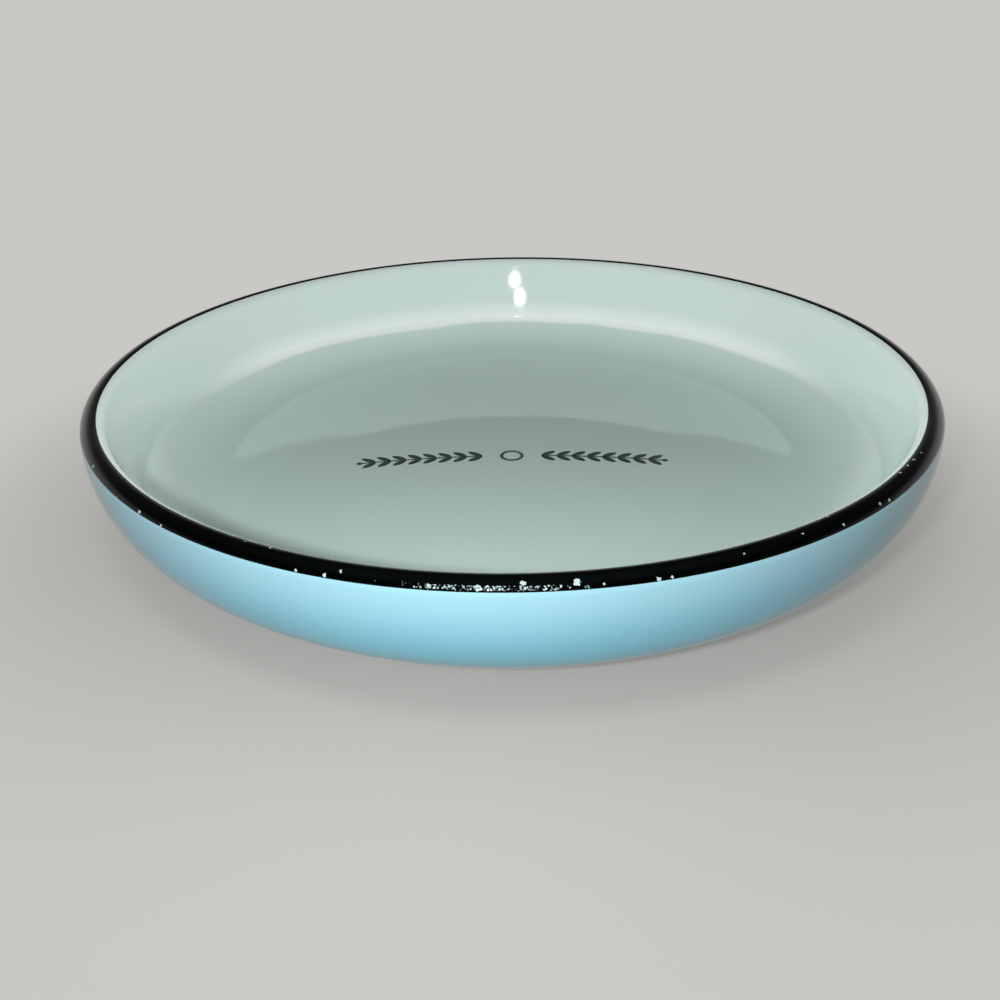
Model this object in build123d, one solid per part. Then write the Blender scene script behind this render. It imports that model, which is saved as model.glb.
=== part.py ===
from build123d import *
from math import acos, asin, atan2, cos, degrees, radians, sin
import os

# Ring dish: a small round dish of fired porcelain, glazed white inside and sky blue outside,
# with a metal band over its rolled lip. Millimetres, +Z up, the dish's axis on Z, standing on z = 0.

# Driving sizes
overall_diameter = 108.0    # over the blue glaze, at the widest level
overall_height = 19.0       # from the standing edge to the top of the band
widest_drop = 2.44          # from the glazed rim down to the widest level
lip_thickness = 3.0         # across the rolled lip, glaze and all
floor_thickness = 2.1       # of the fired body under the middle of the well
flat_diameter = 50.0        # of the level middle of the well
turn_radius = 2.2           # of the turn between the wall of the well and its corner

foot_diameter = 66.0        # outside the foot ring, at its root
foot_width = 2.8            # across the foot ring, near its standing edge
foot_height = 1.4           # from the standing edge to the underside beside the ring
recess_depth = 1.2          # of the body inside the ring

glaze_thickness = 0.25
band_thickness = 0.12
band_outer_drop = 0.84      # from the glazed rim down to the band's lower edge
band_inner_reach = 0.55     # from the top of the lip in to the band's inner edge

# Slopes, in degrees
wall_lean = 18.0            # the wall of the well from the upright
corner_lean = 44.0          # the top of the well's corner from the upright
floor_slope = 6.0           # the dished floor at its edge
foot_draft = 8.0            # the sides of the foot ring from the upright
underside_bow = 8.0         # how far the underside swells past a straight cone, at its foot end

# Proportions
wall_share = 0.61           # of the well's depth that the straight wall goes down
belly_share = 0.843         # of the height under the widest level that is the belly's radius
foot_fillet_share = 0.45    # of the foot ring's height, for the fillet where it meets the underside
foot_edge_share = 0.25      # of the foot ring's height, for the radius of its two standing edges
bare_share = 0.5            # of the ring's straight outer side that is wiped bare

UP = 90.0
DOWN = -90.0
HALF_TURN = 180.0


def facing(angle):
    """Unit vector of a surface that faces this many degrees above the horizontal, in the section."""
    return Vector(cos(radians(angle)), 0, sin(radians(angle)))


def along(angle):
    """The way on along the section, which runs from the well over the lip and round to the base."""
    return Vector(sin(radians(angle)), 0, -cos(radians(angle)))


class Round:
    """A round stretch of the body's surface. Where the surface is hollow, its radius is negative."""

    def __init__(self, start, radius, first, last):
        self.centre = start - facing(first) * radius
        self.radius = radius
        self.first = first
        self.last = last

    def at(self, angle, coat=0):
        return self.centre + facing(angle) * (self.radius + coat)

    def end(self, coat=0):
        return self.at(self.last, coat)

    def edge(self, coat):
        middle = (self.first + self.last) / 2
        return ThreePointArc(self.at(self.first, coat), self.at(middle, coat), self.at(self.last, coat))


class Straight:
    """A straight stretch of the body's surface, of this length and facing this way."""

    def __init__(self, start, length, angle):
        self.start = start
        self.length = length
        self.angle = angle

    def end(self, coat=0):
        return self.start + along(self.angle) * self.length + facing(self.angle) * coat

    def edge(self, coat):
        return Line(self.start + facing(self.angle) * coat, self.end(coat))


# Heights and centres of the fired body
lip_radius = lip_thickness / 2 - glaze_thickness
rim_height = overall_height - band_thickness - glaze_thickness
widest_height = overall_height - band_thickness - widest_drop
widest_radius = overall_diameter / 2 - glaze_thickness
belly_radius = belly_share * (widest_height - foot_height)
belly_centre = Vector(widest_radius - belly_radius, 0, widest_height)
lip_facing = degrees(asin((rim_height - lip_radius - widest_height) / (belly_radius - lip_radius)))
lip_centre = belly_centre + facing(lip_facing) * (belly_radius - lip_radius)
foot_fillet = foot_fillet_share * foot_height
foot_edge_radius = foot_edge_share * foot_height
foot_edge_height = foot_edge_radius * (1 - sin(radians(foot_draft)))
recess_facing = foot_draft - HALF_TURN
floor_height = recess_depth + floor_thickness
well_depth = rim_height - floor_height


def well_surface():
    """The inside: level floor, dished floor, corner, turn, leaning wall, and the lip up to its top."""
    wall_facing = HALF_TURN - wall_lean
    corner_facing = HALF_TURN - corner_lean
    edge_facing = UP + floor_slope
    wall_top = lip_centre + facing(wall_facing) * lip_radius
    wall_length = (wall_top.Z - rim_height + wall_share * well_depth) / cos(radians(wall_lean))
    wall_foot = wall_top - along(wall_facing) * wall_length
    turn_foot = wall_foot + (facing(wall_facing) - facing(corner_facing)) * turn_radius

    # The corner and the dished floor are two arcs that share out the rest of the run and of the fall.
    run = turn_foot.X - flat_diameter / 2
    fall = turn_foot.Z - floor_height
    corner_arc = facing(edge_facing) - facing(corner_facing)
    floor_arc = facing(UP) - facing(edge_facing)
    shared = corner_arc.X * floor_arc.Z - corner_arc.Z * floor_arc.X
    corner_radius = (run * floor_arc.Z - fall * floor_arc.X) / shared
    dish_radius = (fall * corner_arc.X - run * corner_arc.Z) / shared

    flat = Straight(Vector(0, 0, floor_height), flat_diameter / 2, UP)
    dish = Round(flat.end(), -dish_radius, UP, edge_facing)
    corner = Round(dish.end(), -corner_radius, edge_facing, corner_facing)
    turn = Round(corner.end(), -turn_radius, corner_facing, wall_facing)
    wall = Straight(turn.end(), wall_length, wall_facing)
    lip = Round(wall.end(), lip_radius, wall_facing, UP)
    return [flat, dish, corner, turn, wall, lip]


def outer_surface(rim):
    """The outside: the lip from its top, the belly, the underside, and the foot ring's glazed side."""
    lip = Round(rim, lip_radius, UP, lip_facing)

    # The underside is an arc between the belly and the foot ring. It swells past the straight cone
    # that would touch the belly, so the way that the cone faces is found first.
    foot_point = Vector(foot_diameter / 2 + foot_fillet, 0, foot_height)
    reach = foot_point - belly_centre
    cone_facing = degrees(atan2(reach.Z, reach.X) + acos(belly_radius / reach.length))
    end_facing = cone_facing - underside_bow
    swell = reach.dot(facing(end_facing)) - belly_radius
    under_radius = (reach.length ** 2 - belly_radius ** 2) / (2 * swell)
    under_centre = foot_point - facing(end_facing) * under_radius
    inward = belly_centre - under_centre
    under_facing = degrees(atan2(inward.Z, inward.X))

    belly = Round(lip.end(), belly_radius, lip_facing, under_facing)
    under = Round(belly.end(), under_radius, under_facing, end_facing)
    root = Round(under.end(), -foot_fillet, end_facing, -foot_draft)
    side_drop = (root.end().Z - foot_edge_height) * (1 - bare_share)
    side = Straight(root.end(), side_drop / cos(radians(foot_draft)), -foot_draft)
    return [lip, belly, under, root, side]


def bare_surface(start):
    """The wiped part of the foot ring: the rest of its outer side, its standing edge, and its inner side."""
    outer_length = (start.Z - foot_edge_height) / cos(radians(foot_draft))
    inner_length = (recess_depth - foot_edge_height) / cos(radians(foot_draft))
    outer_side = Straight(start, outer_length, -foot_draft)
    outer_edge = Round(outer_side.end(), foot_edge_radius, -foot_draft, DOWN)
    standing = Straight(outer_edge.end(), foot_width - 2 * foot_edge_radius, DOWN)
    inner_edge = Round(standing.end(), foot_edge_radius, DOWN, recess_facing)
    inner_side = Straight(inner_edge.end(), inner_length, recess_facing)
    return [outer_side, outer_edge, standing, inner_edge, inner_side]


def turned(edges):
    """The solid that a section in the XZ plane sweeps in one turn about the dish's axis."""
    return revolve(make_face(edges), Axis.Z)


def edges_of(stretches, coat):
    return [stretch.edge(coat) for stretch in stretches]


def coat_over(stretches, thickness):
    """A coat from the first stretch to the last, with a square end where it stops or meets another."""
    seat = edges_of(stretches, 0)
    face = edges_of(stretches, thickness)
    ends = [Line(seat[0] @ 0, face[0] @ 0), Line(seat[-1] @ 1, face[-1] @ 1)]
    return turned(seat + face + ends)


well = well_surface()
outside = outer_surface(well[-1].end())
bare = bare_surface(outside[-1].end())
recess_corner = bare[-1].end()


def porcelain_body():
    """The fired body, from the middle of the well over the lip and under to the middle of the base."""
    base = Line(recess_corner, Vector(0, 0, recess_depth))
    axis = Line(Vector(0, 0, recess_depth), Vector(0, 0, floor_height))
    return turned(edges_of(well + outside + bare, 0) + [base, axis])


def well_glaze():
    """The white lining. It meets the blue glaze at the top of the lip, under the band."""
    return coat_over(well, glaze_thickness)


def blue_glaze():
    """The coat on the outside, from the top of the lip to the foot ring's side, above the wiped edge."""
    return coat_over(outside, glaze_thickness)


def base_glaze():
    """The white coat on the base, which fills the recess from side to side."""
    side_length = glaze_thickness / cos(radians(foot_draft))
    face_corner = recess_corner - along(recess_facing) * side_length
    centre = Vector(0, 0, recess_depth)
    face_centre = Vector(0, 0, face_corner.Z)
    return turned(Polyline(centre, recess_corner, face_corner, face_centre, close=True).edges())


def rim_band():
    """The metal band, fired over both glazes, which wraps the lip and covers their joint."""
    glazed_radius = lip_radius + glaze_thickness
    inner_facing = degrees(acos(-band_inner_reach / glazed_radius))
    outer_facing = degrees(asin(1 - band_outer_drop / glazed_radius))
    start = lip_centre + facing(inner_facing) * glazed_radius
    return coat_over([Round(start, glazed_radius, inner_facing, outer_facing)], band_thickness)


PIECES = {
    "porcelain_body": porcelain_body,
    "well_glaze": well_glaze,
    "blue_glaze": blue_glaze,
    "base_glaze": base_glaze,
    "rim_band": rim_band,
}

os.makedirs("parts", exist_ok=True)
for name, make in PIECES.items():
    piece = make()
    export_step(piece, f"parts/{name}.step")
    print(name, round(piece.volume, 1), piece.bounding_box().size)
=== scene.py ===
from math import ceil, cos, pi, radians, sin, tan

import bpy
from mathutils import Matrix, Vector


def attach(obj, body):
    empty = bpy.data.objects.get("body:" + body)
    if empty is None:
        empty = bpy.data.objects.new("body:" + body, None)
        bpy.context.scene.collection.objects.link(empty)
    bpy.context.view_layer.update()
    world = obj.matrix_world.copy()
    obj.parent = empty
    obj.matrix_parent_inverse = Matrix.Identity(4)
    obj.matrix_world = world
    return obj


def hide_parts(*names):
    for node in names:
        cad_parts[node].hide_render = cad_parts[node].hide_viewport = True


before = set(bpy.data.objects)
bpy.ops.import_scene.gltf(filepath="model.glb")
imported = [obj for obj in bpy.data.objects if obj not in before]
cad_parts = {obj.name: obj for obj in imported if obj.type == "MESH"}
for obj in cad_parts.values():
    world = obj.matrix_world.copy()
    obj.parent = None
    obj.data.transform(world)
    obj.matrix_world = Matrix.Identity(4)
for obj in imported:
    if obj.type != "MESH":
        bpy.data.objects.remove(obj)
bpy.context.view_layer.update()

# Camera
# It stands where the photograph was taken: a hand's width from the dish and a little above it, with
# a phone's lens. Its 36 mm lens on a 36 mm sensor makes one image width the distance in front of it.
MM = 0.001
camera_distance = 125.2 * MM    # in front of the dish's axis
camera_height = 65.6 * MM       # above the table
camera_tilt = 28.36             # degrees below the level
camera_pan = 0.80               # degrees to the left
camera_roll = -1.03             # degrees about the way it looks

camera_data = bpy.data.cameras.new("camera")
camera_data.lens = 36
camera_data.sensor_width = 36
camera_data.clip_start = 5 * MM
camera_data.clip_end = 20
camera = bpy.data.objects.new("camera", camera_data)
camera.matrix_world = (
    Matrix.Translation((0, -camera_distance, camera_height))
    @ Matrix.Rotation(radians(camera_pan), 4, "Z")
    @ Matrix.Rotation(radians(90 - camera_tilt), 4, "X")
    @ Matrix.Rotation(radians(camera_roll), 4, "Z")
)
bpy.context.scene.collection.objects.link(camera)
bpy.context.scene.camera = camera


# Porcelain body
# The dish is one piece of white porcelain, shaped on a wheel by a tool with this section, and fired.
# It shows bare only on the foot ring's standing edge, where the glaze was wiped off so that it
# wouldn't stick to the kiln's shelf.
floor_level = 3.3           # mm above the table, of the fired body in the middle of the well
flat_radius = 25.0          # of the level middle of the well
dish_radius = 133.834       # of the arc that the floor rises in
corner_radius = 14.664
turn_radius = 2.2
wall_length = 8.92          # of the straight wall of the well
lip_radius = 1.25           # of the rolled lip
belly_radius = 12.679
under_radius = 42.955       # of the arc from the belly in to the foot ring
foot_fillet = 0.63
foot_side_glazed = 0.283    # of the foot ring's outer side, down to the wiped edge
foot_edge_radius = 0.35
standing_width = 2.1        # of the foot ring's level standing face
recess_level = 1.2          # of the body inside the foot ring

# The ways that the surface faces where one stretch goes over into the next, in degrees above the
# level and outwards, so that 90 is up, 0 is out and -90 is down.
floor_edge_facing = 96.0
wall_foot_facing = 136.0
wall_facing = 162.0
widest_facing = 4.72
belly_end_facing = -65.87
under_end_facing = -83.40
foot_side_facing = -8.0
recess_side_facing = -172.0

longest_step = 1.5          # mm along the section
widest_step = 3.0           # degrees of turn along the section
end_step = 0.04             # mm: short steps at a straight stretch's ends keep its reflections straight
steps_round = 384           # flat facets in one turn

# No fired dish is quite round. On one side of this one the rim has drawn in a little.
slump = 0.5 / 54            # the share of the rim's radius that it has drawn in, at most
slump_way = 20.0            # degrees: the side on which it has, counted from the right
slump_spread = 3.0          # the higher, the shorter is the stretch of rim that has
rim_level = 19.0            # mm


def facing(angle):
    return Vector((cos(radians(angle)), sin(radians(angle))))


class Section:
    """A pen that draws the section from the axis outwards. It keeps each point and the way that it faces."""

    def __init__(self, radius, level, angle):
        self.point = Vector((radius, level))
        self.angle = angle
        self.stations = [(self.point.copy(), angle)]

    def straight(self, length):
        start = self.point.copy()
        way = Vector((sin(radians(self.angle)), -cos(radians(self.angle))))
        steps = max(1, ceil(length / longest_step))
        between = [length * step / steps for step in range(1, steps)]
        for run in [end_step] + between + [length - end_step, length]:
            self.point = start + way * run
            self.stations.append((self.point.copy(), self.angle))
        return self

    def bend(self, radius, angle):
        """Goes round an arc until the surface faces at this angle. A hollow arc's radius is negative."""
        centre = self.point - facing(self.angle) * radius
        first = self.angle
        turn = angle - first
        steps = max(1, ceil(abs(turn) / widest_step), ceil(abs(radians(turn) * radius) / longest_step))
        for step in range(1, steps + 1):
            self.angle = first + turn * step / steps
            self.point = centre + facing(self.angle) * radius
            self.stations.append((self.point.copy(), self.angle))
        return self

    def points(self, coat=0.0):
        return [point + facing(angle) * coat for point, angle in self.stations]


def well_section():
    pen = Section(0.0, floor_level, 90.0).straight(flat_radius).bend(-dish_radius, floor_edge_facing)
    pen.bend(-corner_radius, wall_foot_facing).bend(-turn_radius, wall_facing)
    return pen.straight(wall_length).bend(lip_radius, 90.0)


def outer_section():
    crest = well_section().point
    pen = Section(crest.x, crest.y, 90.0).bend(lip_radius, widest_facing).bend(belly_radius, belly_end_facing)
    pen.bend(under_radius, under_end_facing).bend(-foot_fillet, foot_side_facing)
    return pen.straight(foot_side_glazed)


def bare_section():
    edge = outer_section().point
    rounding = foot_edge_radius * (1 + sin(radians(foot_side_facing)))
    slant = cos(radians(foot_side_facing))
    pen = Section(edge.x, edge.y, foot_side_facing).straight((edge.y - rounding) / slant)
    pen.bend(foot_edge_radius, -90.0).straight(standing_width).bend(foot_edge_radius, recess_side_facing)
    return pen.straight((recess_level - rounding) / slant)


def add_node(tree, kind, inputs=None, **settings):
    """Adds a node with its settings. An input takes a value, an output, or a node for its first output."""
    node = tree.nodes.new(kind)
    for setting, value in settings.items():
        setattr(node, setting, value)
    for key, value in (inputs or {}).items():
        sockets = [s for s in node.inputs if s.enabled and s.name == key]
        socket = node.inputs[key] if isinstance(key, int) else sockets[0]
        if isinstance(value, bpy.types.Node):
            value = next(output for output in value.outputs if output.enabled)
        if isinstance(value, bpy.types.NodeSocket):
            tree.links.new(value, socket)
        else:
            socket.default_value = value
    return node


def add_inputs(tree, kinds):
    for name, kind in kinds.items():
        tree.interface.new_socket(name, in_out="INPUT", socket_type="NodeSocket" + kind)
    tree.interface.new_socket("Geometry", in_out="OUTPUT", socket_type="NodeSocketGeometry")
    return add_node(tree, "NodeGroupInput").outputs


def wheel():
    """The geometry nodes that turn a section, drawn as a row of points, once round the dish's axis."""
    tree = bpy.data.node_groups.new("turned on a wheel", "GeometryNodeTree")
    given = add_inputs(tree, {
        "Section": "Geometry", "Steps Round": "Int", "Material": "Material",
        "Slump": "Float", "Slump Way": "Float", "Slump Spread": "Float", "Rim Level": "Float",
    })
    size = add_node(tree, "GeometryNodeAttributeDomainSize", {"Geometry": given["Section"]})
    rows = size.outputs["Point Count"]
    columns = add_node(tree, "FunctionNodeIntegerMath", {0: given["Steps Round"], 1: 1}, operation="ADD")
    grid = add_node(tree, "GeometryNodeMeshGrid", {"Vertices X": columns, "Vertices Y": rows})
    index = add_node(tree, "GeometryNodeInputIndex")
    column = add_node(tree, "FunctionNodeIntegerMath", {0: index, 1: rows}, operation="DIVIDE")
    row = add_node(tree, "FunctionNodeIntegerMath", {0: index, 1: rows}, operation="MODULO")
    drawn = add_node(
        tree, "GeometryNodeSampleIndex",
        {"Geometry": given["Section"], "Value": add_node(tree, "GeometryNodeInputPosition"), "Index": row},
        data_type="FLOAT_VECTOR", domain="POINT",
    )
    # It turns clockwise, so that the faces point outwards.
    part = add_node(tree, "ShaderNodeMath", {0: column, 1: given["Steps Round"]}, operation="DIVIDE")
    angle = add_node(tree, "ShaderNodeMath", {0: part, 1: -2 * pi}, operation="MULTIPLY")

    # The slump: each level draws in by its share of the rim's height, most on the side of the slump.
    away = add_node(tree, "ShaderNodeMath", {0: angle, 1: given["Slump Way"]}, operation="SUBTRACT")
    side = add_node(tree, "ShaderNodeMath", {0: away}, operation="COSINE")
    near = add_node(tree, "ShaderNodeMath", {0: side, 1: 0.5, 2: 0.5}, operation="MULTIPLY_ADD")
    spread = add_node(tree, "ShaderNodeMath", {0: near, 1: given["Slump Spread"]}, operation="POWER")
    level = add_node(tree, "ShaderNodeSeparateXYZ", {0: drawn}).outputs["Z"]
    height = add_node(tree, "ShaderNodeMath", {0: level, 1: given["Rim Level"]}, operation="DIVIDE")
    share = add_node(tree, "ShaderNodeMath", {0: spread, 1: height}, operation="MULTIPLY")
    lost = add_node(tree, "ShaderNodeMath", {0: share, 1: given["Slump"]}, operation="MULTIPLY")
    kept = add_node(tree, "ShaderNodeMath", {0: 1.0, 1: lost}, operation="SUBTRACT")
    narrowing = add_node(tree, "ShaderNodeCombineXYZ", {"X": kept, "Y": 1.0, "Z": 1.0})
    fired = add_node(tree, "ShaderNodeVectorMath", {0: drawn, 1: narrowing}, operation="MULTIPLY")

    turn = {"Vector": fired, "Angle": angle}
    place = add_node(tree, "ShaderNodeVectorRotate", turn, rotation_type="Z_AXIS")
    turned = add_node(tree, "GeometryNodeSetPosition", {"Geometry": grid, "Position": place})
    # The last row meets the first, and the points on the axis become one.
    closed = add_node(tree, "GeometryNodeMergeByDistance", {"Geometry": turned, "Distance": 0.001 * MM})
    smooth = add_node(tree, "GeometryNodeSetShadeSmooth", {"Geometry": closed, "Shade Smooth": True})
    whole = add_node(tree, "GeometryNodeRealizeInstances", {"Geometry": smooth})
    dressed = add_node(tree, "GeometryNodeSetMaterial", {"Geometry": whole, "Material": given["Material"]})
    add_node(tree, "NodeGroupOutput", {0: dressed})
    return tree


turning = wheel()


def applied(start, tree, values, name):
    """Runs a geometry nodes tree on an object and keeps the result as a plain mesh of its own."""
    bpy.context.scene.collection.objects.link(start)
    modifier = start.modifiers.new("nodes", "NODES")
    modifier.node_group = tree
    for socket in tree.interface.items_tree:
        if socket.in_out == "INPUT" and socket.name in values:
            modifier[socket.identifier] = values[socket.name]
    evaluated = start.evaluated_get(bpy.context.evaluated_depsgraph_get())
    mesh = bpy.data.meshes.new_from_object(evaluated)
    bpy.data.objects.remove(start)
    mesh.name = name
    piece = bpy.data.objects.new(name, mesh)
    bpy.context.scene.collection.objects.link(piece)
    return piece


def turned_piece(name, points, material):
    """A piece of the dish from its section's points, in mm and in the order that makes it face outwards."""
    mesh = bpy.data.meshes.new(name)
    corners = [(point.x * MM, 0, point.y * MM) for point in points]
    mesh.from_pydata(corners, [(i, i + 1) for i in range(len(corners) - 1)], [])
    start = bpy.data.objects.new(name + "_section", mesh)
    sizes = {
        "Steps Round": steps_round, "Material": material, "Slump": slump, "Slump Way": radians(slump_way),
        "Slump Spread": slump_spread, "Rim Level": rim_level * MM,
    }
    return applied(start, turning, sizes, name)


def linear(colour):
    """A colour as the shaders want it, from its sRGB hex value."""
    parts = [int(colour[i:i + 2], 16) / 255 for i in (1, 3, 5)]
    return [part / 12.92 if part <= 0.04045 else ((part + 0.055) / 1.055) ** 2.4 for part in parts] + [1.0]


# Bisque porcelain, fired with no glaze: fine-grained and matt, so it shows no reflection, and a little
# stained by handling.
def bisque_porcelain():
    grit = 0.18 * MM        # across a grain
    grit_height = 0.005 * MM
    stain = 9 * MM          # across a stain
    material = bpy.data.materials.new("bisque_porcelain")
    material.use_nodes = True
    tree = material.node_tree
    shader = tree.nodes["Principled BSDF"]
    shader.inputs["Roughness"].default_value = 0.62
    shader.inputs["IOR"].default_value = 1.5
    place = add_node(tree, "ShaderNodeTexCoord").outputs["Object"]
    stains = add_node(tree, "ShaderNodeTexNoise", {"Vector": place, "Scale": 1 / stain, "Detail": 4.0})
    clay = {"Factor": stains, "A": linear("#EDEAE2"), "B": linear("#DAD4C8")}
    tone = add_node(tree, "ShaderNodeMix", clay, data_type="RGBA")
    tree.links.new(tone.outputs[2], shader.inputs["Base Color"])
    grains = add_node(tree, "ShaderNodeTexNoise", {"Vector": place, "Scale": 1 / grit, "Detail": 2.0})
    bump = add_node(tree, "ShaderNodeBump", {"Distance": grit_height, "Height": grains})
    tree.links.new(bump.outputs[0], shader.inputs["Normal"])
    return material


body_points = well_section().points() + outer_section().points()[1:] + bare_section().points()[1:]
body_points.append(Vector((0, recess_level)))
body = turned_piece("fired_body", body_points, bisque_porcelain())
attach(body, "root")
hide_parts("porcelain_body")


# White glaze of the well
# A clear glass coat fired onto the white porcelain, from the middle of the well to the crest of the lip,
# where it ends under the band. It is a quarter of a millimetre thick.
glaze_thickness = 0.25      # mm
lap = 0.005                 # mm that a coat's seat lies inside what it coats


def coat_points(pen, thickness, end=()):
    """The section of a coat: along its face, round its end, and back along its seat."""
    seat = pen.points(-lap)
    seat.reverse()
    return pen.points(thickness) + list(end) + seat


# Fired glaze: a coloured body seen through glass that is smoother and denser than a window's, so it
# mirrors sharply and rather strongly. It shows flecks, low waves that make reflections waver, and faint
# rings that the turning tool left in the clay. Its colour goes with heights above the table in mm,
# wavering a little at random where the glass pooled: painted shade where it is darker low down, and
# painted light where the white at the back has a pale line. The tones at the back may differ.
def fired_glaze(name, tones, back_tones, fleck_colour):
    pool = 16 * MM          # across a place where the glass pooled
    pool_rise = 0.8 * MM    # how far its tone reaches up or down
    wave = 7 * MM           # from crest to crest
    wave_height = 0.008 * MM
    ring = 2.2 * MM         # from groove to groove
    ring_height = 0.0008 * MM
    fleck_spacing = 5 * MM
    fleck = 0.11 * MM       # the radius of the largest
    flecked_share = 0.10    # of the places that have a fleck
    back_start = 6 * MM     # behind the dish's middle, where the tones of the back begin to show
    back_full = 32 * MM
    material = bpy.data.materials.new(name)
    material.use_nodes = True
    tree = material.node_tree
    shader = tree.nodes["Principled BSDF"]
    shader.inputs["IOR"].default_value = 1.64
    place = add_node(tree, "ShaderNodeTexCoord").outputs["Object"]

    pools = add_node(tree, "ShaderNodeTexNoise", {"Vector": place, "Scale": 1 / pool, "Detail": 2.0})
    height = add_node(tree, "ShaderNodeSeparateXYZ", {0: place}).outputs["Z"]
    # The height at which the painted light and shade of the tones is looked up, shifted a little at random.
    painted_tone_level = add_node(tree, "ShaderNodeMath", {0: pools, 1: pool_rise, 2: height}, operation="MULTIPLY_ADD")
    share = add_node(tree, "ShaderNodeMath", {0: painted_tone_level, 1: rim_level * MM}, operation="DIVIDE")
    ramps = []
    for levels in (tones, back_tones):
        ramp = add_node(tree, "ShaderNodeValToRGB", {0: share})
        steps = ramp.color_ramp.elements
        while len(steps) < len(levels):
            steps.new(1.0)
        for step, (level, colour) in zip(steps, levels):
            step.position = level / rim_level
            step.color = linear(colour)
        ramps.append(ramp)
    depth = add_node(tree, "ShaderNodeSeparateXYZ", {0: place}).outputs["Y"]
    behind = {"Value": depth, "From Min": back_start, "From Max": back_full}
    behind = add_node(tree, "ShaderNodeMapRange", behind, interpolation_type="SMOOTHSTEP")
    tone = {"Factor": behind, "A": ramps[0], "B": ramps[1]}
    tone = add_node(tree, "ShaderNodeMix", tone, data_type="RGBA")
    cells = add_node(tree, "ShaderNodeTexVoronoi", {"Vector": place, "Scale": 1 / fleck_spacing})
    drawn = add_node(tree, "ShaderNodeSeparateColor", {"Color": cells.outputs["Color"]})
    held = {0: drawn.outputs["Red"], 1: flecked_share}
    chosen = add_node(tree, "ShaderNodeMath", held, operation="LESS_THAN")
    # A fleck's size follows from its cell, up to the full size.
    reach = {0: drawn.outputs["Green"], 1: fleck / fleck_spacing}
    size = add_node(tree, "ShaderNodeMath", reach, operation="MULTIPLY")
    spot = add_node(tree, "ShaderNodeMath", {0: cells.outputs["Distance"], 1: size}, operation="LESS_THAN")
    flecks = add_node(tree, "ShaderNodeMath", {0: spot, 1: chosen}, operation="MULTIPLY")
    colour = {"Factor": flecks, "A": tone, "B": linear(fleck_colour)}
    flecked = add_node(tree, "ShaderNodeMix", colour, data_type="RGBA")
    tree.links.new(flecked.outputs[2], shader.inputs["Base Color"])

    # The glass is smoothest where it is thickest.
    gloss = add_node(tree, "ShaderNodeMapRange", {"Value": pools, "To Min": 0.035, "To Max": 0.075})
    tree.links.new(gloss.outputs[0], shader.inputs["Roughness"])

    waves = add_node(tree, "ShaderNodeTexNoise", {"Vector": place, "Scale": 1 / wave, "Detail": 1.0})
    swell = add_node(tree, "ShaderNodeBump", {"Distance": wave_height, "Height": waves})
    rings = add_node(
        tree, "ShaderNodeTexWave",
        {"Vector": place, "Scale": pi / (10 * ring), "Distortion": 2.0, "Detail": 1.0, "Detail Scale": 0.3},
        wave_type="RINGS", rings_direction="Z",
    )
    grooves = {"Distance": ring_height, "Height": rings.outputs["Fac"], "Normal": swell}
    grooved = add_node(tree, "ShaderNodeBump", grooves)
    tree.links.new(grooved.outputs[0], shader.inputs["Normal"])
    return material


# Darker on the floor than up the wall: painted shade. At the back only, a pale line over the turn at the
# foot of the wall is painted light.
white_tones_with_painted_shade = [(4.2, "#BCD1CD"), (8.4, "#CBDFDB"), (12.6, "#DBECE9")]
white_back_tones_with_painted_light = [
    (4.2, "#BCD1CD"), (8.7, "#D0E4E0"), (9.1, "#F4FDFB"), (10.2, "#F1FCF9"), (12.6, "#DBECE9"),
]
white_glaze = fired_glaze("clear_glaze_on_white", white_tones_with_painted_shade, white_back_tones_with_painted_light, "#7C827E")
well_coat = turned_piece("well_coat", coat_points(well_section(), glaze_thickness), white_glaze)
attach(well_coat, "root")
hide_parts("well_glaze")


# Blue glaze of the outside
# A sky-blue glass coat, poured over the outside. It runs from the top of the lip, where it meets the
# white, down to the foot ring's side, where it ends in a soft bead above the wiped edge.
bead_steps = 6
outer_pen = outer_section()
bead_middle = outer_pen.point + facing(outer_pen.angle) * (glaze_thickness / 2)
bead_turns = [outer_pen.angle - 180 * step / bead_steps for step in range(1, bead_steps)]
bead = [bead_middle + facing(turn) * (glaze_thickness / 2) for turn in bead_turns]

# Darker towards the bottom and paler at the top: painted shade.
blue_painted_shade_tones = [(2.0, "#3D90A9"), (10.0, "#60A9BF"), (17.0, "#80ACBA")]
blue_glaze = fired_glaze("sky_blue_glaze", blue_painted_shade_tones, blue_painted_shade_tones, "#D4E0E4")
outer_points = coat_points(outer_pen, glaze_thickness, bead)
# The first point again closes the coat where it meets the white one.
outer_coat = turned_piece("outer_coat", outer_points + outer_points[:1], blue_glaze)
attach(outer_coat, "root")
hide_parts("blue_glaze")


# White glaze of the base
# The same clear coat inside the foot ring. It gathers in the corner under the ring in a hollow curve.
gather_radius = 0.45        # mm
gather_rise = gather_radius * (1 + sin(radians(recess_side_facing)))
gather_level = recess_level - glaze_thickness - gather_rise
ring_corner = bare_section().point
gather_start = ring_corner.x + (recess_level - gather_level) * tan(radians(-foot_side_facing))
base_pen = Section(gather_start, gather_level, recess_side_facing).bend(-gather_radius, -90.0)
base_pen.straight(base_pen.point.x)
base_points = [Vector((0, recess_level + lap)), ring_corner + Vector((lap, lap))]
base_points += [Vector((gather_start + lap, gather_level))] + base_pen.points()
base_coat = turned_piece("base_coat", base_points, white_glaze)
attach(base_coat, "root")
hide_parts("base_glaze")


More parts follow.
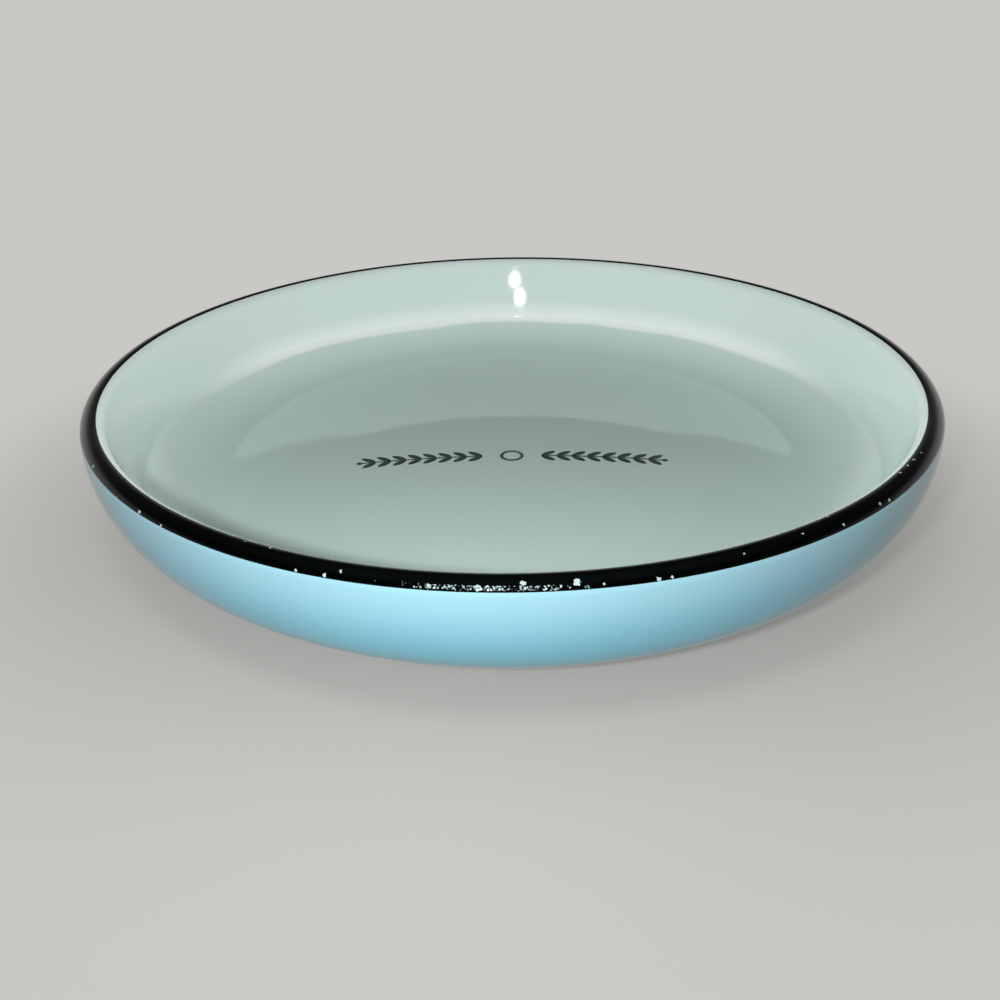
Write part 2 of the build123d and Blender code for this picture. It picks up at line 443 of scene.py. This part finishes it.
# Rim band
# A film of metal lustre, brushed over the lip by hand on a slow wheel and fired at low heat. It hides
# the line where the two glazes meet.
band_film = 0.03            # mm, thicker than a real lustre so that its edge has a place in the mesh
band_inner_facing = 111.5   # degrees: the band's inner edge on the lip
band_outer_facing = 26.1    # the band's lower edge, outside
glazed_lip = lip_radius + glaze_thickness
crest = well_section().point
lip_centre = Vector((crest.x, crest.y - lip_radius))
band_start = lip_centre + facing(band_inner_facing) * glazed_lip
band_pen = Section(band_start.x, band_start.y, band_inner_facing).bend(glazed_lip, band_outer_facing)

# Places where the lustre has chipped or rubbed off, and one painted highlight: degrees round from the right,
# the way that the lip faces there, and the spot's radius in mm. The one at 266.8 degrees is the painted
# core of a lamp's glint.
chips_and_glint_core = [
    (212.8, 41, 0.20), (221.5, 24, 0.14), (226.7, 34, 0.18), (230.9, 33, 0.12), (248.9, 34, 0.16),
    (252.0, 36, 0.18), (253.5, 58, 0.14), (262.2, 40, 0.20), (266.8, 41, 0.30), (270.9, 57, 0.22),
    (275.9, 53, 0.29), (276.9, 34, 0.12), (283.6, 34, 0.19), (284.9, 34, 0.13), (292.8, 62, 0.12),
    (300.3, 70, 0.12), (304.9, 103, 0.14), (305.6, 44, 0.15), (312.1, 48, 0.17), (313.8, 38, 0.17),
    (241.9, 97, 0.10), (245.0, 98, 0.12), (248.2, 112, 0.10), (319.6, 97, 0.15), (321.9, 95, 0.14),
    (323.8, 93, 0.17), (326.1, 87, 0.12), (12.0, 60, 0.15), (48.0, 35, 0.17), (77.0, 80, 0.12),
    (103.0, 44, 0.18), (131.0, 62, 0.14), (158.0, 38, 0.17), (187.0, 70, 0.12),
]
glint_middle = 267.8         # degrees round: where a lamp's glint falls, a painted highlight of pale specks
glint_half = (3.0, 11.0)     # degrees to each side within which the painted glint is strongest, and where it ends
glint_facing = 40.0
glint_facing_half = (5.0, 11.0)


def on_band(azimuth, angle):
    """A place on the slumped band, in metres."""
    flat = lip_centre + facing(angle) * (glazed_lip + band_film)
    near = (0.5 + 0.5 * cos(radians(azimuth - slump_way))) ** slump_spread
    radius = flat.x * (1 - slump * near * flat.y / rim_level)
    return Vector((radius * cos(radians(azimuth)), radius * sin(radians(azimuth)), flat.y)) * MM


# Fired metal lustre over glass: a mirror with fine grains left by the brush and the kiln. Its near-black
# colour is a painted dark reflection, in place of the pale metal mirroring a dim room. It has pale chips,
# and a stretch of pale specks that is a painted highlight, a lamp's glint on the grains.
def metal_lustre():
    grain = 0.22 * MM       # across a grain, coarser than real ones so that they show
    grain_height = 0.012 * MM
    speck = 0.20 * MM       # from one speck of the painted glint to the next
    speck_share = 0.80      # of the specks that are pale where the painted glint is strongest
    ragged = 0.20 * MM      # along a chip's outline
    ragged_by = 0.40 * MM   # across it
    smear = 3 * MM          # across a duller patch
    speck_reach = 0.55      # from a speck's middle to its rim, as a share of the specks' spacing
    speck_contrast = 1.6    # the higher, the fewer specks are pale
    material = bpy.data.materials.new("fired_metal_lustre")
    material.use_nodes = True
    tree = material.node_tree
    shader = tree.nodes["Principled BSDF"]
    place = add_node(tree, "ShaderNodeTexCoord").outputs["Object"]

    # The chips' outlines are ragged, because the place is shifted a little before it is measured.
    wander = add_node(tree, "ShaderNodeTexNoise", {"Vector": place, "Scale": 1 / ragged, "Detail": 1.0})
    shift = {0: wander.outputs["Color"], 1: (ragged_by,) * 3, 2: place}
    shifted = add_node(tree, "ShaderNodeVectorMath", shift, operation="MULTIPLY_ADD")
    chips_and_glint_core_mask = 0.0
    for azimuth, angle, radius in chips_and_glint_core:
        spot = on_band(azimuth, angle) + Vector((1, 1, 1)) * (ragged_by / 2)
        away = add_node(tree, "ShaderNodeVectorMath", {0: shifted, 1: spot}, operation="DISTANCE")
        inside = {0: away.outputs["Value"], 1: radius * MM}
        inside = add_node(tree, "ShaderNodeMath", inside, operation="LESS_THAN")
        chips_and_glint_core_mask = add_node(tree, "ShaderNodeMath", {0: inside, 1: chips_and_glint_core_mask}, operation="MAXIMUM")

    # The painted highlight: how far round, and which way the lip faces, give the share of pale specks.
    x, y, z = add_node(tree, "ShaderNodeSeparateXYZ", {0: place}).outputs
    glint_way = radians(glint_middle)
    ahead = add_node(
        tree, "ShaderNodeVectorRotate", {"Vector": place, "Angle": -glint_way}, rotation_type="Z_AXIS"
    )
    ahead = add_node(tree, "ShaderNodeSeparateXYZ", {0: ahead}).outputs
    turn = add_node(tree, "ShaderNodeMath", {0: ahead["Y"], 1: ahead["X"]}, operation="ARCTAN2")
    flat_place = add_node(tree, "ShaderNodeCombineXYZ", {"X": x, "Y": y})
    radius = add_node(tree, "ShaderNodeVectorMath", {0: flat_place}, operation="LENGTH").outputs["Value"]
    out = add_node(tree, "ShaderNodeMath", {0: radius, 1: lip_centre.x * MM}, operation="SUBTRACT")
    up = add_node(tree, "ShaderNodeMath", {0: z, 1: lip_centre.y * MM}, operation="SUBTRACT")
    lean = add_node(tree, "ShaderNodeMath", {0: up, 1: out}, operation="ARCTAN2")
    off = add_node(tree, "ShaderNodeMath", {0: lean, 1: radians(glint_facing)}, operation="SUBTRACT")
    shares = []
    for angle, (most, edge) in ((turn, glint_half), (off, glint_facing_half)):
        size = add_node(tree, "ShaderNodeMath", {0: angle}, operation="ABSOLUTE")
        fade = {"Value": size, "From Min": radians(most), "From Max": radians(edge)}
        fade.update({"To Min": 1.0, "To Max": 0.0})
        shares.append(add_node(tree, "ShaderNodeMapRange", fade, interpolation_type="SMOOTHSTEP"))
    glint_strength = add_node(tree, "ShaderNodeMath", {0: shares[0], 1: shares[1]}, operation="MULTIPLY")
    glinting = add_node(tree, "ShaderNodeMath", {0: glint_strength, 1: speck_share}, operation="MULTIPLY")
    cells = add_node(tree, "ShaderNodeTexVoronoi", {"Vector": place, "Scale": 1 / speck})
    drawn = add_node(tree, "ShaderNodeSeparateColor", {"Color": cells.outputs["Color"]}).outputs
    glint_cell = add_node(tree, "ShaderNodeMath", {0: drawn["Red"], 1: glinting}, operation="LESS_THAN")
    near = {0: cells.outputs["Distance"], 1: speck_reach}
    round_speck = add_node(tree, "ShaderNodeMath", near, operation="LESS_THAN")
    glint_specks = add_node(tree, "ShaderNodeMath", {0: glint_cell, 1: round_speck}, operation="MULTIPLY")
    pallor = add_node(tree, "ShaderNodeMath", {0: drawn["Green"], 1: speck_contrast}, operation="POWER")
    pale = {"Factor": pallor, "A": linear("#1C343A"), "B": linear("#B4C6C8")}
    pale = add_node(tree, "ShaderNodeMix", pale, data_type="RGBA")

    # Painted dark reflection: the near-black base stands in for the pale metal mirroring a dim room.
    painted_dark_and_chip_colour = {"Factor": chips_and_glint_core_mask, "A": linear("#1C2222"), "B": linear("#9CAFB1")}
    painted_dark_and_chip_colour = add_node(tree, "ShaderNodeMix", painted_dark_and_chip_colour, data_type="RGBA")
    colour = {"Factor": glint_specks, "A": painted_dark_and_chip_colour.outputs[2], "B": pale.outputs[2]}
    band_chips_and_glint_colour = add_node(tree, "ShaderNodeMix", colour, data_type="RGBA")
    tree.links.new(band_chips_and_glint_colour.outputs[2], shader.inputs["Base Color"])
    chips_and_glint = add_node(tree, "ShaderNodeMath", {0: glint_specks, 1: chips_and_glint_core_mask}, operation="MAXIMUM")
    metal = add_node(tree, "ShaderNodeMath", {0: 1.0, 1: chips_and_glint}, operation="SUBTRACT")
    tree.links.new(metal.outputs[0], shader.inputs["Metallic"])
    smears = add_node(tree, "ShaderNodeTexNoise", {"Vector": place, "Scale": 1 / smear, "Detail": 3.0})
    gloss = {"Value": smears, "From Min": 0.35, "From Max": 0.75, "To Min": 0.07, "To Max": 0.16}
    gloss = add_node(tree, "ShaderNodeMapRange", gloss)
    tree.links.new(gloss.outputs[0], shader.inputs["Roughness"])
    grains = add_node(tree, "ShaderNodeTexNoise", {"Vector": place, "Scale": 1 / grain, "Detail": 1.0})
    bump = add_node(tree, "ShaderNodeBump", {"Distance": grain_height, "Height": grains})
    tree.links.new(bump.outputs[0], shader.inputs["Normal"])
    return material


band_points = coat_points(band_pen, band_film)
band_points.append(band_points[0])
band = turned_piece("rim_lustre", band_points, metal_lustre())
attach(band, "root")
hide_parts("rim_band")


# Print in the well
# A fired print on the glaze in the middle of the well: a ring with a leafy sprig on each side, in one
# gently arched row. It was laid on as a transfer in dark enamel and melted into the glaze.
print_sizes = {
    "Arc Radius": 111.0 * MM,
    "Crown": 3.0 * MM,              # how far behind the middle of the well the arc's top is
    "Sprig Start": 4.2 * MM,        # from the middle of the row, along the arc
    "Sprig End": 21.6 * MM,
    "Leaf Pairs": 8,
    "Leaf Spacing": 2.15 * MM,
    "Leaf Length": 2.5 * MM,
    "Leaf Width": 0.95 * MM,
    "Leaf Angle": radians(38.0),    # off the stem
    "Stem Width": 0.34 * MM,
    "Ring Radius": 1.45 * MM,
    "Ring Line": 0.50 * MM,
    "Berry Radius": 0.42 * MM,
    "Thickness": 0.04 * MM,         # half of it below the glaze's face
}


def sprigs():
    """The geometry nodes that lay the row of leaves, stems and ring out flat and drop it onto the glaze."""
    tree = bpy.data.node_groups.new("sprigs on an arc", "GeometryNodeTree")
    kinds = {name: "Int" if name == "Leaf Pairs" else "Float" for name in print_sizes}
    given = add_inputs(tree, {"Geometry": "Geometry", **kinds, "Glaze": "Object", "Material": "Material"})
    thickness = given["Thickness"]
    here = add_node(tree, "GeometryNodeInputPosition")

    # A leaf grows from the origin along X, with both its ends pointed.
    disc = add_node(tree, "GeometryNodeMeshCylinder", {"Vertices": 20, "Radius": 1.0, "Depth": thickness})
    at = add_node(tree, "ShaderNodeSeparateXYZ", {0: here}).outputs
    forward = add_node(tree, "ShaderNodeMath", {0: at["X"], 1: 1.0}, operation="ADD")
    length = add_node(tree, "ShaderNodeMath", {0: given["Leaf Length"], 1: 0.5}, operation="MULTIPLY")
    x = add_node(tree, "ShaderNodeMath", {0: forward, 1: length}, operation="MULTIPLY")
    size = add_node(tree, "ShaderNodeMath", {0: at["Y"]}, operation="ABSOLUTE")
    pinch = add_node(tree, "ShaderNodeMath", {0: size, 1: 0.5}, operation="POWER")
    width = add_node(tree, "ShaderNodeMath", {0: given["Leaf Width"], 1: 0.5}, operation="MULTIPLY")
    pointed = add_node(tree, "ShaderNodeMath", {0: at["Y"], 1: pinch}, operation="MULTIPLY")
    y = add_node(tree, "ShaderNodeMath", {0: pointed, 1: width}, operation="MULTIPLY")
    outline = add_node(tree, "ShaderNodeCombineXYZ", {"X": x, "Y": y, "Z": at["Z"]})
    leaf = add_node(tree, "GeometryNodeSetPosition", {"Geometry": disc.outputs["Mesh"], "Position": outline})
    berry_sizes = {"Vertices": 24, "Radius": given["Berry Radius"], "Depth": thickness}
    berry = add_node(tree, "GeometryNodeMeshCylinder", berry_sizes).outputs["Mesh"]

    drop = add_node(tree, "ShaderNodeMath", {0: given["Crown"], 1: given["Arc Radius"]}, operation="SUBTRACT")
    index = add_node(tree, "GeometryNodeInputIndex")
    reach = {0: index, 1: given["Leaf Spacing"], 2: given["Sprig Start"]}
    run = add_node(tree, "ShaderNodeMath", reach, operation="MULTIPLY_ADD")
    joined = []
    for side in (1, -1):
        # Leaves stand in pairs along the arc, and the last pair is followed by a berry.
        for points, along in ((given["Leaf Pairs"], run), (1, given["Sprig End"])):
            turn = add_node(tree, "ShaderNodeMath", {0: along, 1: given["Arc Radius"]}, operation="DIVIDE")
            sine = add_node(tree, "ShaderNodeMath", {0: turn}, operation="SINE")
            cosine = add_node(tree, "ShaderNodeMath", {0: turn}, operation="COSINE")
            out = add_node(tree, "ShaderNodeMath", {0: sine, 1: given["Arc Radius"]}, operation="MULTIPLY")
            x = add_node(tree, "ShaderNodeMath", {0: out, 1: float(side)}, operation="MULTIPLY")
            up = {0: cosine, 1: given["Arc Radius"], 2: drop}
            y = add_node(tree, "ShaderNodeMath", up, operation="MULTIPLY_ADD")
            spot = add_node(tree, "ShaderNodeCombineXYZ", {"X": x, "Y": y})
            row = add_node(tree, "GeometryNodePoints", {"Count": points, "Position": spot})
            if points == 1:
                grown = {"Points": row, "Instance": berry}
                joined.append(add_node(tree, "GeometryNodeInstanceOnPoints", grown))
                continue
            for flank in (1, -1):
                ahead = {0: turn, 1: -float(side), 2: 0.0 if side == 1 else pi}
                stem_way = add_node(tree, "ShaderNodeMath", ahead, operation="MULTIPLY_ADD")
                off = {0: given["Leaf Angle"], 1: float(flank), 2: stem_way}
                leaf_way = add_node(tree, "ShaderNodeMath", off, operation="MULTIPLY_ADD")
                heading = add_node(tree, "ShaderNodeCombineXYZ", {"Z": leaf_way})
                grown = {"Points": row, "Instance": leaf, "Rotation": heading}
                joined.append(add_node(tree, "GeometryNodeInstanceOnPoints", grown))

        # The stem is a strip along the arc.
        first = {0: given["Sprig Start"], 1: given["Arc Radius"]}
        first = add_node(tree, "ShaderNodeMath", first, operation="DIVIDE")
        start = {0: first, 1: -float(side), 2: pi / 2}
        start = add_node(tree, "ShaderNodeMath", start, operation="MULTIPLY_ADD")
        gap = {0: given["Sprig End"], 1: given["Sprig Start"]}
        gap = add_node(tree, "ShaderNodeMath", gap, operation="SUBTRACT")
        sweep = add_node(tree, "ShaderNodeMath", {0: gap, 1: given["Arc Radius"]}, operation="DIVIDE")
        sweep = add_node(tree, "ShaderNodeMath", {0: sweep, 1: -float(side)}, operation="MULTIPLY")
        arc_sizes = {"Resolution": 60, "Radius": given["Arc Radius"]}
        arc_sizes.update({"Start Angle": start, "Sweep Angle": sweep})
        arc = add_node(tree, "GeometryNodeCurveArc", arc_sizes, mode="RADIUS")
        strip = {"Width": given["Stem Width"], "Height": thickness}
        strip = add_node(tree, "GeometryNodeCurvePrimitiveQuadrilateral", strip)
        swept = {"Curve": arc, "Profile Curve": strip, "Fill Caps": True}
        stem = add_node(tree, "GeometryNodeCurveToMesh", swept)
        shift = add_node(tree, "ShaderNodeCombineXYZ", {"Y": drop})
        joined.append(add_node(tree, "GeometryNodeTransform", {"Geometry": stem, "Translation": shift}))

    circle = {"Resolution": 64, "Radius": given["Ring Radius"]}
    circle = add_node(tree, "GeometryNodeCurvePrimitiveCircle", circle)
    strip = {"Width": given["Ring Line"], "Height": thickness}
    strip = add_node(tree, "GeometryNodeCurvePrimitiveQuadrilateral", strip)
    ring = add_node(tree, "GeometryNodeCurveToMesh", {"Curve": circle, "Profile Curve": strip})
    shift = add_node(tree, "ShaderNodeCombineXYZ", {"Y": given["Crown"]})
    joined.append(add_node(tree, "GeometryNodeTransform", {"Geometry": ring, "Translation": shift}))

    row = add_node(tree, "GeometryNodeJoinGeometry")
    for part in joined:
        tree.links.new(part.outputs[0], row.inputs[0])
    whole = add_node(tree, "GeometryNodeRealizeInstances", {"Geometry": row})

    # Each point drops straight down onto the glaze and keeps its own height above it.
    glaze = add_node(tree, "GeometryNodeObjectInfo", {"Object": given["Glaze"]}).outputs["Geometry"]
    above = add_node(tree, "ShaderNodeVectorMath", {0: here, 1: (0, 0, rim_level * MM)}, operation="ADD")
    fall = {"Target Geometry": glaze, "Source Position": above}
    fall.update({"Ray Direction": (0, 0, -1), "Ray Length": 2 * rim_level * MM})
    landing = add_node(tree, "GeometryNodeRaycast", fall).outputs["Hit Position"]
    level = add_node(tree, "ShaderNodeSeparateXYZ", {0: landing}).outputs["Z"]
    lift = add_node(tree, "ShaderNodeCombineXYZ", {"Z": level})
    laid = add_node(tree, "GeometryNodeSetPosition", {"Geometry": whole, "Offset": lift})
    dressed = add_node(tree, "GeometryNodeSetMaterial", {"Geometry": laid, "Material": given["Material"]})
    add_node(tree, "NodeGroupOutput", {0: dressed})
    return tree


# Fired enamel: a dark grey-green glass with a little less shine than the glaze, and thinner and paler
# in places where the transfer took less colour.
def fired_enamel():
    patch = 0.6 * MM
    material = bpy.data.materials.new("fired_print_enamel")
    material.use_nodes = True
    tree = material.node_tree
    shader = tree.nodes["Principled BSDF"]
    shader.inputs["IOR"].default_value = 1.52
    shader.inputs["Roughness"].default_value = 0.18
    place = add_node(tree, "ShaderNodeTexCoord").outputs["Object"]
    patches = add_node(tree, "ShaderNodeTexNoise", {"Vector": place, "Scale": 1 / patch, "Detail": 2.0})
    depth = {"Factor": patches, "A": linear("#1F2E2C"), "B": linear("#3B4D4A")}
    tone = add_node(tree, "ShaderNodeMix", depth, data_type="RGBA")
    tree.links.new(tone.outputs[2], shader.inputs["Base Color"])
    return material


blank = bpy.data.objects.new("blank", bpy.data.meshes.new("blank"))
print_values = {**print_sizes, "Glaze": well_coat, "Material": fired_enamel()}
well_print = applied(blank, sprigs(), print_values, "well_print")
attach(well_print, "root")


# Floor
# A wide sheet of pale paper. Near the dish it takes the lamps' light and the dish's shadow, and further
# off it goes over into an even pale ground.
floor_half = 8.0            # metres
shadow_reach = 35 * MM      # from the middle of the dish, where the even ground starts to take over
even_reach = 95 * MM        # where it has
least_even = 0.35           # the share of the even ground under the dish
ground_colour = "#C9C8C4"


def seen_rays(tree):
    """1 for what the camera sees, straight on or in metal and glass, and 0 for light on its way."""
    ways = add_node(tree, "ShaderNodeLightPath").outputs
    seen = {0: ways["Is Camera Ray"], 1: ways["Is Glossy Ray"]}
    seen = add_node(tree, "ShaderNodeMath", seen, operation="MAXIMUM")
    return add_node(tree, "ShaderNodeMath", {0: seen, 1: ways["Is Transmission Ray"]}, operation="MAXIMUM")


floor_mesh = bpy.data.meshes.new("paper")
corner_signs = [(-1, -1), (1, -1), (1, 1), (-1, 1)]
sheet = [(x * floor_half, y * floor_half, 0) for x, y in corner_signs]
floor_mesh.from_pydata(sheet, [], [(0, 1, 2, 3)])
floor = bpy.data.objects.new("paper", floor_mesh)
bpy.context.scene.collection.objects.link(floor)
paper = bpy.data.materials.new("pale_paper")
paper.use_nodes = True
paper_tree = paper.node_tree
paper_shader = paper_tree.nodes["Principled BSDF"]
paper_shader.inputs["Base Color"].default_value = linear("#A3A29E")
paper_shader.inputs["Roughness"].default_value = 0.85
even = add_node(paper_tree, "ShaderNodeEmission", {"Color": linear(ground_colour)})
spot = add_node(paper_tree, "ShaderNodeNewGeometry").outputs["Position"]
off = add_node(paper_tree, "ShaderNodeVectorMath", {0: spot}, operation="LENGTH").outputs["Value"]
far = add_node(
    paper_tree, "ShaderNodeMapRange",
    {"Value": off, "From Min": shadow_reach, "From Max": even_reach, "To Min": least_even},
    interpolation_type="SMOOTHSTEP",
)
share = add_node(paper_tree, "ShaderNodeMath", {0: far, 1: seen_rays(paper_tree)}, operation="MULTIPLY")
mixed = add_node(paper_tree, "ShaderNodeMixShader", {0: share, 1: paper_shader, 2: even})
paper_tree.links.new(mixed.outputs[0], paper_tree.nodes["Material Output"].inputs["Surface"])
floor_mesh.materials.append(paper)


# Light
# A small lamp stands beside the lens, as the flash did, with a larger one above it and two wide ones
# low behind the dish. Two bright points of light by the lens make the two spots in the wall of the
# well. The room gives the rest.
dish_middle = Vector((0, 0, 10 * MM))


def lamp(name, place, width, height, power, mirrored=False):
    data = bpy.data.lights.new(name, "AREA")
    data.shape = "ELLIPSE"
    data.size = width
    data.size_y = height
    data.energy = power
    made = bpy.data.objects.new(name, data)
    made.location = place
    made.rotation_euler = (dish_middle - Vector(place)).to_track_quat("-Z", "Y").to_euler()
    made.visible_glossy = mirrored
    bpy.context.scene.collection.objects.link(made)


lamp("near_lamp", (-0.014, -0.125, 0.0665), width=0.010, height=0.006, power=0.138)
lamp("high_lamp", (-0.015, -0.100, 0.140), width=0.040, height=0.040, power=0.070)
for side in (-1, 1):
    lamp("back_lamp", (side * 0.30, 0.80, 0.12), width=0.5, height=0.3, power=2.8)
# The two bright points stand to the left of the lens: across from the dish's axis, and above the table.
flash_spots = [(-5.8 * MM, 76.4 * MM), (-10.1 * MM, 70.0 * MM)]
for x, z in flash_spots:
    place = (x, -camera_distance, z)
    lamp("flash_spot", place, width=10 * MM, height=4.8 * MM, power=0.0025, mirrored=True)

# The room is as pale as the ground near the horizon, dark further up, and a little paler overhead. The
# heights are those of the way looked at, from 0 at the horizon to 1 overhead.
pale_rise = 0.16            # up to here it is as pale as the ground
dark_rise = 0.42            # from here up it is dark
dark_level = 0.14           # of the ground's level
ceiling_rise = (0.65, 0.95)     # from where to where it grows paler again
ceiling_level = 0.3         # by how much
room_light = 0.5            # the room lights the dish by this share of how bright it looks
world = bpy.data.worlds.new("studio")
world.use_nodes = True
world_tree = world.node_tree
background = world_tree.nodes["Background"]
background.inputs["Color"].default_value = linear(ground_colour)
way = add_node(world_tree, "ShaderNodeTexCoord").outputs["Generated"]
rise = add_node(world_tree, "ShaderNodeSeparateXYZ", {0: way}).outputs["Z"]
walls = {"Value": rise, "From Min": pale_rise, "From Max": dark_rise, "To Min": 1.0, "To Max": dark_level}
walls = add_node(world_tree, "ShaderNodeMapRange", walls, interpolation_type="SMOOTHSTEP")
ceiling = {"Value": rise, "From Min": ceiling_rise[0], "From Max": ceiling_rise[1], "To Max": ceiling_level}
ceiling = add_node(world_tree, "ShaderNodeMapRange", ceiling, interpolation_type="SMOOTHSTEP")
room = add_node(world_tree, "ShaderNodeMath", {0: walls, 1: ceiling}, operation="ADD")
dimming = {"Value": seen_rays(world_tree), "To Min": room_light, "To Max": 1.0}
dimming = add_node(world_tree, "ShaderNodeMapRange", dimming)
strength = add_node(world_tree, "ShaderNodeMath", {0: room, 1: dimming}, operation="MULTIPLY")
world_tree.links.new(strength.outputs[0], background.inputs["Strength"])
bpy.context.scene.world = world
bpy.context.scene.view_settings.view_transform = "Standard"
